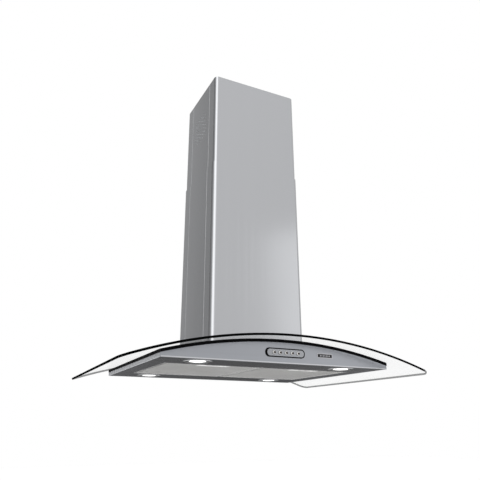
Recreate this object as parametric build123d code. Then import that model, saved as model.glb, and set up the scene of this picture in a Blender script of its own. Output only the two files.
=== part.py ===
from build123d import *
import math
import os

# Island range hood: a ceiling-hung chimney over a low steel canopy under an arched glass plate.
# Millimetres, +Z up, -Y is the front with the controls, +X is the right-hand side.
# The origin is the centre of the ceiling plate's upper face, so the whole hood hangs below z = 0.
# Heights of hood pieces are given above the canopy's underside and turned into z by up().

# ---- overall sizes
overall_height = 960.0
canopy_width = 680.0
canopy_depth = 552.0
glass_width = 900.0
glass_depth = 670.0

# ---- glass plate
glass_thickness = 6.0
glass_arch_radius = 1350.0
glass_corner_radius = 26.0

# ---- seals under the glass
seal_thickness = 8.0
seal_width = 14.0
seal_proud = 1.0
inner_seal_width = 12.0

# ---- canopy casing
case_side_height = 10.6
case_sheet = 1.5
case_edge_round = 1.2
pan_setback = 0.5

# ---- how far a cutting body runs past what it cuts, and how high the arched layers are trimmed from
cut_over = 5.0
trim_reach = 160.0

# ---- chimney covers
lower_cover_width = 308.0
lower_cover_depth = 266.0
lower_cover_top = 636.0
upper_cover_bottom = 510.0
cover_sheet = 1.0
cover_gap = 1.5
cover_corner_radius = 15.0
cover_glass_gap = 0.3
strip_half_width = 77.0
seam_gap = 0.4
seam_round = 1.6
hem_length = 8.0
hem_clearance = 0.5

# ---- vents in the upper side strips
vent_columns = 8
vent_rows = 7
vent_column_pitch = 11.6
vent_row_pitch = 13.3
vent_hole_radius = 2.6
vent_centre_below_ceiling = 136.0

# ---- ceiling plate
plate_thickness = 3.0
plate_flange = 20.0
plate_flange_sheet = 1.5
plate_relief_room = 1.0
plate_bolt_spacing_x = 210.0
plate_bolt_spacing_y = 200.0
plate_bolt_hole_radius = 4.5
plate_duct_hole_radius = 80.0
plate_cable_hole_radius = 10.0
cover_screw_drop = 12.0
cover_screw_spacing = 180.0
cover_screw_radius = 2.0
cover_screw_head_radius = 4.0
cover_screw_head_height = 1.6
cover_screw_head_round = 0.96
cover_screw_length = 8.0
cover_screw_slot_length = 6.0
cover_screw_slot_width = 0.8
cover_screw_slot_floor = 0.64

# ---- telescopic uprights
upright_leg = 20.0
upright_sheet = 2.0
upright_cover_gap = 6.5
upright_slide_gap = 0.3
upper_upright_bottom = 450.0
lower_upright_top = 640.0
lock_screw_height = 610.0
lock_screw_radius = 3.0
lock_screw_head_radius = 5.0
lock_screw_head_height = 4.0
lock_screw_past = 3.0
lock_slot_gap = 0.5
height_up = 120.0
height_down = 90.0
slot_end_room = 8.0

# ---- clamp tray through the middle of the glass
tray_rise = 8.5
tray_sheet = 2.0
tray_clearance = 2.0
tray_flange = 6.0
air_inlet_width = 230.0
air_inlet_depth = 190.0
pillar_radius = 5.0
pillar_inset = 14.0
bolt_radius = 2.9
bolt_clearance = 0.1
bolt_head_radius = 5.0
bolt_head_height = 4.0
bolt_length = 18.0
bolt_end_room = 1.0

# ---- grease filters
filter_opening_width = 580.0
filter_opening_depth = 316.0
filter_gap = 1.0
filter_height = 9.0
filter_bottom = 0.8
filter_rim = 9.0
filter_corner_radius = 6.0
filter_edge_chamfer = 0.8
filter_mesh_thickness = 6.0
filter_tab_width = 20.0
filter_tab_length = 7.0
filter_tab_thickness = 1.2
filter_tab_offset = 90.0
filter_tab_root = 2.0
filter_tab_pan_gap = 0.3
seat_wall_gap = 10.0
seat_ledge = 10.0
seat_sheet = 1.5
seat_clearance = 0.8

# ---- filter pulls and their latches
pull_width = 92.0
pull_depth = 26.0
pull_height = 7.0
pull_wall = 3.0
pull_top_wall = 1.5
pull_corner_round = 0.8
latch_width = 40.0
latch_depth = 8.0
latch_height = 3.6
latch_corner_round = 1.5
latch_bottom_inset = 0.4
latch_tongue_rise = 1.0
latch_tongue_width = 16.0
latch_tongue_thickness = 2.0
latch_tongue_reach = 0.6
latch_play = 0.3

# ---- lamps
lamp_offset_x = 222.0
lamp_offset_y = 216.0
lamp_flange_radius = 38.5
lamp_flange_thickness = 1.4
lamp_lip_thickness = 0.28
lamp_rim_width = 4.0
lamp_rim_round_width = 1.5
lamp_rim_low = 1.26
lamp_rim_high = 0.49
lamp_lens_radius = 24.5
lamp_lens_thickness = 2.0
lamp_neck_radius = 33.0
lamp_neck_height = 7.0
lamp_hole_gap = 0.4
lamp_can_radius = 30.0
lamp_can_height = 16.0
lamp_can_wall = 1.2

# ---- control panel
control_x = 3.0
control_height = 27.5
control_width = 112.0
control_depth = 18.4
control_corner_radius = 8.6
control_rim = 2.2
control_rim_setback = 0.4
control_proud = 1.4
control_edge_round = 0.7
control_thickness = 4.0
button_pitch = 18.3
button_radius = 4.7
button_gap = 0.3
button_proud = 2.6
button_edge_round = 0.9
button_travel = 2.2
button_collar_radius = 6.2
button_collar_thickness = 1.0
button_stem_radius = 2.0
button_stem_length = 6.0
button_count = 5
switch_width = 104.0
switch_height = 20.0
switch_depth = 18.0
switch_clearance = 0.8
badge_x = 126.5
badge_height_drop = 1.0
badge_width = 50.0
badge_height = 12.5
badge_thickness = 1.2
badge_corner_radius = 2.5
badge_chamfer = 0.4

# ---- blower
blower_box_width = 240.0
blower_box_depth = 198.0
blower_box_height = 206.0
blower_sheet = 1.2
scroll_radius = 90.0
scroll_half_width = 52.0
scroll_outlet_edge = 10.0
scroll_inlet_radius = 58.0
scroll_floor_gap = 10.0
impeller_radius = 70.0
impeller_inner_radius = 58.5
impeller_half_width = 45.0
impeller_ring = 2.0
impeller_blades = 32
impeller_blade_thickness = 1.0
impeller_blade_turn = 35.0
impeller_blade_fill = 0.84
impeller_hub_radius = 9.0
impeller_hub_half_length = 6.0
shaft_radius = 4.0
shaft_clearance = 0.05
shaft_length = 24.0
shaft_end_room = 2.0
motor_radius = 40.0
motor_gap = 8.0
motor_edge_round = 4.0
spider_arms = 3
spider_first_arm_angle = 30.0
spider_hub_radius = 28.0
spider_arm_width = 14.0
spider_reach = 12.0
spider_thickness = 2.0

# ---- outlet collar and its two flaps
collar_radius = 75.0
collar_wall = 1.5
collar_length = 40.0
collar_flange_width = 13.0
collar_flange_thickness = 2.0
flap_hinge_rise = 14.0
flap_hinge_offset = 3.5
flap_rod_radius = 2.0
flap_rod_clearance = 0.06
flap_rod_inset = 0.2
flap_thickness = 1.5
flap_edge_gap = 1.0
flap_ledge_width = 3.0
flap_ledge_thickness = 1.5
flap_ledge_gap = 0.3

# ---- electrical pieces
control_box_size = (130.0, 60.0, 34.0)
driver_box_size = (64.0, 54.0, 26.0)
capacitor_radius = 15.0
capacitor_length = 60.0
electrics_y = 218.0
electrics_gap = 16.0
electrics_floor = 3.0
electrics_corner_round = 3.0
capacitor_edge_round = 2.0
gland_radius = 8.0
gland_bore_radius = 4.5
gland_height = 18.0
gland_nut_radius = 11.0
gland_nut_height = 6.0
gland_x = 96.0
gland_y = 76.0

# ---- sizes that follow from the ones above
glass_top_radius = glass_arch_radius + glass_thickness / 2
glass_under_radius = glass_arch_radius - glass_thickness / 2
case_top_radius = glass_under_radius - seal_thickness
case_half_width = canopy_width / 2
case_half_depth = canopy_depth / 2
arch_centre_height = case_side_height - math.sqrt(case_top_radius ** 2 - case_half_width ** 2)
arch_centre_z = arch_centre_height - overall_height
tray_height = arch_centre_height + glass_arch_radius + tray_rise
upper_cover_width = lower_cover_width - 2 * (cover_sheet + cover_gap)
upper_cover_depth = lower_cover_depth - 2 * (cover_sheet + cover_gap)
upper_corner_radius = cover_corner_radius - cover_sheet - cover_gap
hem_depth = cover_sheet + cover_gap - hem_clearance
upright_x = upper_cover_width / 2 - cover_sheet - upright_cover_gap
upright_y = upper_cover_depth / 2 - cover_sheet - upright_cover_gap
tray_half_width = upright_x
tray_half_depth = upright_y
cutout_half_width = tray_half_width + tray_clearance
cutout_half_depth = tray_half_depth + tray_clearance
tray_top = tray_height + tray_sheet
blower_top = tray_top + blower_box_height
pan_bottom = pan_setback
pan_top = pan_setback + case_sheet
fan_centre = tray_top + scroll_radius + scroll_floor_gap
flap_hinge_height = blower_top + flap_hinge_rise


def up(height):
    """The z of a height above the canopy's underside."""
    return height - overall_height


def block(x0, x1, y0, y1, z0, z1):
    """A rectangular solid between two corners."""
    centre = Pos((x0 + x1) / 2, (y0 + y1) / 2, (z0 + z1) / 2)
    return centre * Box(abs(x1 - x0), abs(y1 - y0), abs(z1 - z0))


def upright_rod(radius, x, y, z0, z1):
    """A round bar standing along Z."""
    return Pos(x, y, (z0 + z1) / 2) * Cylinder(radius, z1 - z0)


def cross_rod(radius, x0, x1, y, z):
    """A round bar lying along X."""
    return Pos((x0 + x1) / 2, y, z) * Rot(0, 90, 0) * Cylinder(radius, x1 - x0)


def depth_rod(radius, x, y0, y1, z):
    """A round bar lying along Y."""
    return Pos(x, (y0 + y1) / 2, z) * Rot(90, 0, 0) * Cylinder(radius, y1 - y0)


def prism(outline, z0, z1):
    """A plan outline raised from z0 to z1."""
    return Pos(0, 0, z0) * extrude(outline, z1 - z0)


def face_prism(outline, x, y0, y1, z):
    """An outline drawn in X and Z, at (x, z), extruded from y0 to y1."""
    sheet = Plane(origin=(x, y0, z), x_dir=(1, 0, 0), z_dir=(0, -1, 0)) * outline
    return extrude(sheet, -(y1 - y0))


def arch_drum(radius):
    """The round body, axis along Y, whose crown is one of the arch surfaces."""
    return Pos(0, 0, arch_centre_z) * Rot(90, 0, 0) * Cylinder(radius, 2 * glass_depth)


def arch_band(inner_radius, outer_radius, outline):
    """The part of an arched layer that stands over a plan outline."""
    layer = arch_drum(outer_radius) - arch_drum(inner_radius)
    return layer & prism(outline, up(-trim_reach), up(trim_reach))


def save(name, shape):
    """Writes one node."""
    shape.label = name
    export_step(shape, os.path.join("parts", name + ".step"))


def group(solids):
    """Several separate solids as one node."""
    return Compound(children=[piece for solid in solids for piece in solid.solids()])


# ---------------------------------------------------------------- glass and seals

def make_glass():
    plan = RectangleRounded(glass_width, glass_depth, glass_corner_radius)
    plan = plan - Rectangle(2 * cutout_half_width, 2 * cutout_half_depth)
    return arch_band(glass_under_radius, glass_top_radius, plan)


def make_glass_seals():
    """The black seal round the casing's top edge, and the one round the cut-out."""
    width = canopy_width + 2 * seal_proud
    depth = canopy_depth + 2 * seal_proud
    rim = Rectangle(width, depth) - Rectangle(width - 2 * seal_width, depth - 2 * seal_width)
    cutout = Rectangle(2 * cutout_half_width, 2 * cutout_half_depth)
    pad = Rectangle(2 * (cutout_half_width + inner_seal_width), 2 * (cutout_half_depth + inner_seal_width))
    return group([arch_band(case_top_radius, glass_under_radius, rim),
                  arch_band(case_top_radius, glass_under_radius, pad - cutout)])


# ---------------------------------------------------------------- canopy casing

def end_panel(front):
    """The arched front or back panel, with its lower outer edge rounded."""
    near = -case_half_depth if front else case_half_depth - case_sheet
    sheet = block(-case_half_width, case_half_width, near, near + case_sheet, up(0), up(trim_reach))
    sheet = sheet & arch_drum(case_top_radius)
    edges = sheet.edges().filter_by(Axis.X).group_by(Axis.Z)[0].sort_by(Axis.Y)
    return fillet(edges[0] if front else edges[-1], case_edge_round)


def make_front_panel():
    panel = end_panel(front=True)
    hole = RectangleRounded(control_width + 2 * control_rim, control_depth + 2 * control_rim,
                            control_corner_radius + control_rim)
    opening = face_prism(hole, control_x, -case_half_depth - cut_over, -case_half_depth + cut_over,
                         up(control_height))
    return panel - opening


def side_panel(side):
    """The low wall at the left (-1) or right (+1) end of the casing."""
    outer = side * case_half_width
    inner = side * (case_half_width - case_sheet)
    depth = case_half_depth - case_sheet
    wall = block(outer, inner, -depth, depth, up(0), up(trim_reach))
    wall = wall & arch_drum(case_top_radius)
    edges = wall.edges().filter_by(Axis.Y).group_by(Axis.Z)[0].sort_by(Axis.X)
    return fillet(edges[0] if side < 0 else edges[-1], case_edge_round)


def make_top_plate():
    plan = Rectangle(canopy_width - 2 * case_sheet, canopy_depth - 2 * case_sheet)
    plan = plan - Rectangle(air_inlet_width, air_inlet_depth)
    return arch_band(case_top_radius - case_sheet, case_top_radius, plan)


def lamp_places():
    """Centres of the four lamps: front left, front right, back left, back right."""
    names = {"front_left": (-1, -1), "front_right": (1, -1), "back_left": (-1, 1), "back_right": (1, 1)}
    return {name: (sx * lamp_offset_x, sy * lamp_offset_y) for name, (sx, sy) in names.items()}


def make_underside_pan():
    plan = Rectangle(canopy_width - 2 * case_sheet, canopy_depth - 2 * case_sheet)
    plan = plan - Rectangle(filter_opening_width, filter_opening_depth)
    for x, y in lamp_places().values():
        plan = plan - Pos(x, y) * Circle(lamp_neck_radius + lamp_hole_gap)
    return prism(plan, up(pan_bottom), up(pan_top))


def make_filter_seat():
    """The strips above the pan: four walls, and the ledges with a middle bar that the filters shut against."""
    wall_x = filter_opening_width / 2 + seat_wall_gap
    wall_y = filter_opening_depth / 2 + seat_wall_gap
    edge_x = filter_opening_width / 2 - seat_ledge
    edge_y = filter_opening_depth / 2 - seat_ledge
    low = up(filter_bottom + filter_height + seat_clearance)
    high = low + seat_sheet
    strips = [block(-seat_ledge, seat_ledge, -edge_y, edge_y, low, high)]
    for sign in (-1, 1):
        strips.append(block(sign * wall_x, sign * (wall_x + seat_sheet), -wall_y, wall_y, up(pan_top), high))
        strips.append(block(-wall_x, wall_x, sign * wall_y, sign * (wall_y + seat_sheet), up(pan_top), high))
        strips.append(block(sign * edge_x, sign * wall_x, -wall_y, wall_y, low, high))
        strips.append(block(-edge_x, edge_x, sign * edge_y, sign * wall_y, low, high))
    return group(strips)


# ---------------------------------------------------------------- clamp tray

def make_clamp_tray():
    """The tray that passes through the glass and holds it down by an arched flange."""
    outer = Rectangle(2 * tray_half_width, 2 * tray_half_depth)
    inner = Rectangle(2 * (tray_half_width - tray_sheet), 2 * (tray_half_depth - tray_sheet))
    flange = RectangleRounded(2 * (tray_half_width + tray_flange), 2 * (tray_half_depth + tray_flange),
                              cover_corner_radius)
    lip = arch_band(glass_top_radius, glass_top_radius + tray_sheet, flange - inner)
    wall = prism(outer - inner, up(0), up(tray_height)) - arch_drum(glass_top_radius)
    plate = prism(outer - Rectangle(air_inlet_width, air_inlet_depth), up(tray_height), up(tray_top))
    for x, y in pillar_places():
        plate = plate - upright_rod(bolt_radius + bolt_clearance, x, y,
                                    up(tray_height - cut_over), up(tray_top + cut_over))
    return lip + wall + plate


def pillar_places():
    """Centres of the four pillars, in the middle of each side of the tray."""
    return [(-(tray_half_width - pillar_inset), 0), (tray_half_width - pillar_inset, 0),
            (0, -(tray_half_depth - pillar_inset)), (0, tray_half_depth - pillar_inset)]


def make_tray_pillars():
    pillars = []
    for x, y in pillar_places():
        post = upright_rod(pillar_radius, x, y, up(0), up(tray_height)) - arch_drum(case_top_radius)
        bore = upright_rod(bolt_radius + bolt_clearance, x, y,
                           up(tray_top - bolt_length - bolt_end_room), up(tray_top))
        pillars.append(post - bore)
    return group(pillars)


def make_tray_bolts():
    bolts = []
    for x, y in pillar_places():
        head = Pos(x, y, up(tray_top)) * extrude(RegularPolygon(bolt_head_radius, 6), bolt_head_height)
        bolts.append(head + upright_rod(bolt_radius, x, y, up(tray_top - bolt_length), up(tray_top)))
    return group(bolts)


# ---------------------------------------------------------------- chimney covers

def cover_wall(width, depth, corner):
    """The plan of a closed cover, one sheet thick."""
    inner = RectangleRounded(width - 2 * cover_sheet, depth - 2 * cover_sheet, corner - cover_sheet)
    return RectangleRounded(width, depth, corner) - inner


def hemmed(plan, side, x_outer, edge, inward):
    """Folds a sheet's free edge back on itself at a seam and rounds the bend."""
    hem = Pos(x_outer - side * hem_depth / 2, edge + inward * hem_length / 2)
    plan = plan + hem * Rectangle(hem_depth, hem_length)
    bend = plan.vertices().sort_by_distance((x_outer, edge, 0))[0]
    return fillet(bend, seam_round)


def cover_half(width, depth, corner, front):
    """Plan of the front or back half: a channel whose free edges are hemmed."""
    sign = -1 if front else 1
    edge = strip_half_width + seam_gap / 2
    keep = Pos(0, sign * (depth / 2 + edge) / 2) * Rectangle(2 * width, depth / 2 - edge)
    plan = cover_wall(width, depth, corner) & keep
    for side in (-1, 1):
        plan = hemmed(plan, side, side * width / 2, sign * edge, sign)
    return plan


def side_strip(width, side):
    """Plan of the flat strip that closes one side between the two halves."""
    x_outer = side * width / 2
    half = strip_half_width - seam_gap / 2
    plan = Pos(x_outer - side * cover_sheet / 2, 0) * Rectangle(cover_sheet, 2 * half)
    for sign in (-1, 1):
        plan = hemmed(plan, side, x_outer, sign * half, -sign)
    return plan


def make_lower_covers():
    """The outer, lower section, which stands on the glass and follows its arch."""
    clear = arch_drum(glass_top_radius + cover_glass_gap)
    low = up(0)
    high = up(lower_cover_top)
    size = (lower_cover_width, lower_cover_depth, cover_corner_radius)
    return {
        "lower_cover_front": prism(cover_half(*size, front=True), low, high) - clear,
        "lower_cover_back": prism(cover_half(*size, front=False), low, high) - clear,
        "lower_cover_left_strip": prism(side_strip(lower_cover_width, -1), low, high) - clear,
        "lower_cover_right_strip": prism(side_strip(lower_cover_width, 1), low, high) - clear,
    }


def vent_holes(side):
    """The staggered holes of one side vent."""
    x_wall = side * upper_cover_width / 2
    top = -vent_centre_below_ceiling + (vent_rows - 1) / 2 * vent_row_pitch
    holes = []
    for column in range(vent_columns):
        y = (column - (vent_columns - 1) / 2) * vent_column_pitch
        shift = vent_row_pitch / 2 * (column % 2) - vent_row_pitch / 4
        for row in range(vent_rows):
            z = top - row * vent_row_pitch + shift
            holes.append(cross_rod(vent_hole_radius, x_wall - cut_over, x_wall + cut_over, y, z))
    return holes


def make_upper_covers():
    """The inner, upper section, screwed to the ceiling plate."""
    low = up(upper_cover_bottom)
    size = (upper_cover_width, upper_cover_depth, upper_corner_radius)
    back = prism(cover_half(*size, front=False), low, 0)
    for x in cover_screw_places():
        back = back - depth_rod(cover_screw_radius, x, 0, upper_cover_depth, -cover_screw_drop)
    left = prism(side_strip(upper_cover_width, -1), low, 0) - vent_holes(-1)
    right = prism(side_strip(upper_cover_width, 1), low, 0) - vent_holes(1)
    return {
        "upper_cover_front": prism(cover_half(*size, front=True), low, 0),
        "upper_cover_back": back,
        "upper_cover_left_strip": left,
        "upper_cover_right_strip": right,
    }


# ---------------------------------------------------------------- ceiling plate and uprights

def cover_screw_places():
    """X of the two screws that hold the upper cover's back."""
    return (-cover_screw_spacing / 2, cover_screw_spacing / 2)


def make_ceiling_plate():
    width = upper_cover_width - 2 * cover_sheet
    depth = upper_cover_depth - 2 * cover_sheet
    corner = upper_corner_radius - cover_sheet
    outer = RectangleRounded(width, depth, corner)
    inner = RectangleRounded(width - 2 * plate_flange_sheet, depth - 2 * plate_flange_sheet,
                             corner - plate_flange_sheet)
    face = outer - Circle(plate_duct_hole_radius)
    face = face - Pos(gland_x, gland_y) * Circle(plate_cable_hole_radius)
    for sx in (-1, 1):
        for sy in (-1, 1):
            place = Pos(sx * plate_bolt_spacing_x / 2, sy * plate_bolt_spacing_y / 2)
            face = face - place * Circle(plate_bolt_hole_radius)
    plate = prism(face, -plate_thickness, 0)
    sides = Rectangle(width + 2 * cut_over, 2 * (strip_half_width + hem_length + plate_relief_room))
    plate = plate + prism((outer - inner) - sides, -plate_flange, -plate_thickness)
    for x in cover_screw_places():
        plate = plate - depth_rod(cover_screw_radius, x, 0, depth, -cover_screw_drop)
    relief = sides - Rectangle(upper_cover_width - 2 * hem_depth - 2 * hem_clearance, depth)
    return plate - prism(relief, -plate_flange, cut_over)


def make_cover_screws():
    screws = []
    face = upper_cover_depth / 2
    for x in cover_screw_places():
        shank = depth_rod(cover_screw_radius, x, face - cover_screw_length, face, -cover_screw_drop)
        head = depth_rod(cover_screw_head_radius, x, face, face + cover_screw_head_height, -cover_screw_drop)
        head = fillet(head.edges().group_by(Axis.Y)[-1], cover_screw_head_round)
        slot = block(x - cover_screw_slot_length / 2, x + cover_screw_slot_length / 2,
                     face + cover_screw_slot_floor, face + cut_over,
                     -cover_screw_drop - cover_screw_slot_width / 2,
                     -cover_screw_drop + cover_screw_slot_width / 2)
        screws.append(shank + head - slot)
    return group(screws)


def angle_bar(sx, sy, x, y, leg, z0, z1):
    """One L-shaped upright with its outer corner at (x, y)."""
    along_x = Pos(x - sx * leg / 2, y - sy * upright_sheet / 2) * Rectangle(leg, upright_sheet)
    along_y = Pos(x - sx * upright_sheet / 2, y - sy * leg / 2) * Rectangle(upright_sheet, leg)
    return prism(along_x + along_y, z0, z1)


def make_upper_uprights():
    bars = []
    middle = upright_leg / 2 + upright_sheet
    slot_low = lock_screw_height - height_down - lock_screw_radius - slot_end_room
    slot_high = lock_screw_height + height_up + lock_screw_radius + slot_end_room
    half = lock_screw_radius + lock_slot_gap
    for sx in (-1, 1):
        for sy in (-1, 1):
            x = sx * upright_x
            y = sy * upright_y
            bar = angle_bar(sx, sy, x, y, upright_leg, up(upper_upright_bottom), -plate_thickness)
            centre = x - sx * middle
            slot = block(centre - half, centre + half, y - cut_over, y + cut_over,
                         up(slot_low), up(slot_high))
            bars.append(bar - slot)
    return group(bars)


def make_lower_uprights():
    bars = []
    inset = upright_sheet + upright_slide_gap
    middle = upright_leg / 2 + upright_sheet
    for sx in (-1, 1):
        for sy in (-1, 1):
            x = sx * (upright_x - inset)
            y = sy * (upright_y - inset)
            bar = angle_bar(sx, sy, x, y, upright_leg, up(tray_top), up(lower_upright_top))
            centre = sx * (upright_x - middle)
            hole = depth_rod(lock_screw_radius, centre, y - cut_over, y + cut_over, up(lock_screw_height))
            bars.append(bar - hole)
    return group(bars)


def make_lock_screws():
    screws = []
    middle = upright_leg / 2 + upright_sheet
    seat = upright_sheet + upright_slide_gap
    for sx in (-1, 1):
        for sy in (-1, 1):
            x = sx * (upright_x - middle)
            tip = sy * (upright_y - seat - upright_sheet - lock_screw_past)
            face = sy * (upright_y + upright_slide_gap)
            end = face + sy * lock_screw_head_height
            shank = depth_rod(lock_screw_radius, x, min(tip, face), max(tip, face), up(lock_screw_height))
            head = depth_rod(lock_screw_head_radius, x, min(face, end), max(face, end), up(lock_screw_height))
            screws.append(shank + head)
    return group(screws)


# ---------------------------------------------------------------- filters

def filter_span(side):
    """Lowest and highest x of one filter cassette."""
    inner = filter_gap
    outer = filter_opening_width / 2 - filter_gap
    return (inner, outer) if side > 0 else (-outer, -inner)


def pull_box(side):
    """X and Y bounds of the pull that is set into one cassette."""
    x0, x1 = filter_span(side)
    centre = (x0 + x1) / 2
    front = -filter_opening_depth / 2 + filter_gap + filter_rim
    return centre - pull_width / 2, centre + pull_width / 2, front, front + pull_depth


def tongue_slot(side, play):
    """The space that a latch tongue runs in, with the given play all round."""
    x0, x1 = filter_span(side)
    centre = (x0 + x1) / 2
    half = latch_tongue_width / 2 + play
    low = filter_bottom + latch_tongue_rise - play
    return (centre - half, centre + half, up(low), up(low + latch_tongue_thickness + 2 * play))


def make_filter_frame(side):
    x0, x1 = filter_span(side)
    y1 = filter_opening_depth / 2 - filter_gap
    centre = Pos((x0 + x1) / 2, 0)
    outer = centre * RectangleRounded(x1 - x0, 2 * y1, filter_corner_radius)
    inner = centre * Rectangle(x1 - x0 - 2 * filter_rim, 2 * (y1 - filter_rim))
    frame = prism(outer - inner, up(filter_bottom), up(filter_bottom + filter_height))
    rim_edges = frame.edges().group_by(Axis.Z)[0].filter_by(lambda edge: edge.length > 2 * pull_width)
    frame = chamfer(rim_edges, filter_edge_chamfer)
    tab_low = up(pan_top + filter_tab_pan_gap)
    for sign in (-1, 1):
        x = (x0 + x1) / 2 + sign * filter_tab_offset
        frame = frame + block(x - filter_tab_width / 2, x + filter_tab_width / 2, y1 - filter_tab_root,
                              y1 + filter_gap + filter_tab_length, tab_low, tab_low + filter_tab_thickness)
    sx0, sx1, sz0, sz1 = tongue_slot(side, latch_play)
    return frame - block(sx0, sx1, -y1 - cut_over, -y1 + filter_rim + cut_over, sz0, sz1)


def make_filter_mesh(side):
    x0, x1 = filter_span(side)
    y1 = filter_opening_depth / 2 - filter_gap - filter_rim
    low = filter_bottom + (filter_height - filter_mesh_thickness) / 2
    pack = block(x0 + filter_rim, x1 - filter_rim, -y1, y1, up(low), up(low + filter_mesh_thickness))
    px0, px1, py0, py1 = pull_box(side)
    return pack - block(px0, px1, py0 - cut_over, py1, up(0), up(filter_bottom + filter_height))


def make_filter_pull(side):
    px0, px1, py0, py1 = pull_box(side)
    body = block(px0, px1, py0, py1, up(filter_bottom), up(filter_bottom + pull_height))
    body = fillet(body.edges().filter_by(Axis.Z), pull_corner_round)
    pocket = block(px0 + pull_wall, px1 - pull_wall, py0 + pull_wall, py1 - pull_wall,
                   up(filter_bottom - cut_over), up(filter_bottom + pull_height - pull_top_wall))
    sx0, sx1, sz0, sz1 = tongue_slot(side, latch_play)
    return body - pocket - block(sx0, sx1, py0 - cut_over, py0 + pull_wall + cut_over, sz0, sz1)


def make_filter_latch(side):
    px0, px1, py0, _ = pull_box(side)
    centre = (px0 + px1) / 2
    front = py0 + pull_wall + latch_play
    low = filter_bottom + latch_bottom_inset
    tab = block(centre - latch_width / 2, centre + latch_width / 2, front, front + latch_depth,
                up(low), up(low + latch_height))
    tab = fillet(tab.edges().filter_by(Axis.Z), latch_corner_round)
    sx0, sx1, sz0, sz1 = tongue_slot(side, 0)
    tip = -filter_opening_depth / 2 + filter_gap - latch_tongue_reach
    return tab + block(sx0, sx1, tip, front + latch_depth / 2, sz0, sz1)


# ---------------------------------------------------------------- lamps

def make_lamp_bezel(x, y):
    """A ring turned to one profile: a shallow cone down from the lens to a rounded rim, and a neck."""
    low = -lamp_flange_thickness
    lens_top = lamp_lens_thickness
    profile = Polyline(
        (lamp_lens_radius, 0, lens_top),
        (lamp_lens_radius, 0, -lamp_lip_thickness),
        (lamp_flange_radius - lamp_rim_width, 0, low),
        (lamp_flange_radius - lamp_rim_round_width, 0, -lamp_rim_low),
        (lamp_flange_radius, 0, -lamp_rim_high),
        (lamp_flange_radius, 0, 0),
        (lamp_neck_radius, 0, 0),
        (lamp_neck_radius, 0, lamp_neck_height),
        (lamp_can_radius, 0, lamp_neck_height),
        (lamp_can_radius, 0, lens_top),
        (lamp_lens_radius, 0, lens_top),
    )
    ring = revolve(make_face(profile), Axis.Z, 360)
    return Pos(x, y, up(pan_bottom)) * ring


def make_lamp_lenses():
    lenses = []
    for x, y in lamp_places().values():
        lens = upright_rod(lamp_lens_radius, x, y, up(pan_bottom), up(pan_bottom + lamp_lens_thickness))
        lenses.append(lens)
    return group(lenses)


def make_lamp_cans():
    cans = []
    low = pan_bottom + lamp_lens_thickness
    for x, y in lamp_places().values():
        can = upright_rod(lamp_can_radius, x, y, up(low), up(low + lamp_can_height))
        hollow = upright_rod(lamp_can_radius - lamp_can_wall, x, y, up(low - cut_over),
                             up(low + lamp_can_height - lamp_can_wall))
        cans.append(can - hollow)
    return group(cans)


# ---------------------------------------------------------------- controls

def button_places():
    """X of each push button."""
    middle = (button_count - 1) / 2
    return [control_x + (index - middle) * button_pitch for index in range(button_count)]


def make_control_rim():
    """The black surround that fills the gap between the panel and the control plate."""
    outer = RectangleRounded(control_width + 2 * control_rim, control_depth + 2 * control_rim,
                             control_corner_radius + control_rim)
    inner = RectangleRounded(control_width, control_depth, control_corner_radius)
    return face_prism(outer - inner, control_x, -case_half_depth + control_rim_setback,
                      -case_half_depth + control_thickness, up(control_height))


def make_control_plate():
    outline = RectangleRounded(control_width, control_depth, control_corner_radius)
    front = -case_half_depth - control_proud
    plate = face_prism(outline, control_x, front, -case_half_depth + control_thickness, up(control_height))
    plate = fillet(plate.edges().group_by(Axis.Y)[0], control_edge_round)
    for x in button_places():
        plate = plate - depth_rod(button_radius + button_gap, x, front - cut_over,
                                  -case_half_depth + control_thickness + cut_over, up(control_height))
    return plate


def make_button(x):
    front = -case_half_depth - control_proud - button_proud
    back = -case_half_depth + control_thickness + button_gap
    cap = depth_rod(button_radius, x, front, back, up(control_height))
    cap = fillet(cap.edges().group_by(Axis.Y)[0], button_edge_round)
    collar = depth_rod(button_collar_radius, x, back, back + button_collar_thickness, up(control_height))
    stem = depth_rod(button_stem_radius, x, back, back + button_stem_length, up(control_height))
    return cap + collar + stem


def make_switch_block():
    back = -case_half_depth + control_thickness + button_gap
    front = back + button_collar_thickness + button_travel + switch_clearance
    body = block(control_x - switch_width / 2, control_x + switch_width / 2, front, front + switch_depth,
                 up(control_height - switch_height / 2), up(control_height + switch_height / 2))
    for x in button_places():
        depth = back + button_stem_length + button_travel + switch_clearance
        body = body - depth_rod(button_stem_radius + button_gap, x, front - cut_over, depth,
                                up(control_height))
    return body


def make_badge():
    outline = RectangleRounded(badge_width, badge_height, badge_corner_radius)
    front = -case_half_depth - badge_thickness
    badge = face_prism(outline, badge_x, front, -case_half_depth, up(control_height - badge_height_drop))
    return chamfer(badge.edges().group_by(Axis.Y)[0], badge_chamfer)


# ---------------------------------------------------------------- blower

def make_blower_box():
    half_x = blower_box_width / 2
    half_y = blower_box_depth / 2
    box = block(-half_x, half_x, -half_y, half_y, up(tray_top), up(blower_top))
    inside = block(-half_x + blower_sheet, half_x - blower_sheet, -half_y + blower_sheet,
                   half_y - blower_sheet, up(tray_top - cut_over), up(blower_top - blower_sheet))
    outlet = upright_rod(collar_radius - collar_wall, 0, 0,
                         up(blower_top - cut_over), up(blower_top + cut_over))
    wire_hole = upright_rod(gland_bore_radius, gland_x, gland_y,
                            up(blower_top - cut_over), up(blower_top + cut_over))
    return box - inside - outlet - wire_hole


def scroll_outline(wall):
    """The volute in Y and Z: a round drum with a straight outlet that rises from its front half."""
    radius = scroll_radius - wall
    rise = blower_top - blower_sheet - fan_centre
    left = -scroll_radius + wall
    right = scroll_outlet_edge - wall
    outlet = Pos((left + right) / 2, rise / 2) * Rectangle(right - left, rise)
    return Circle(radius) + outlet


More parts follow.
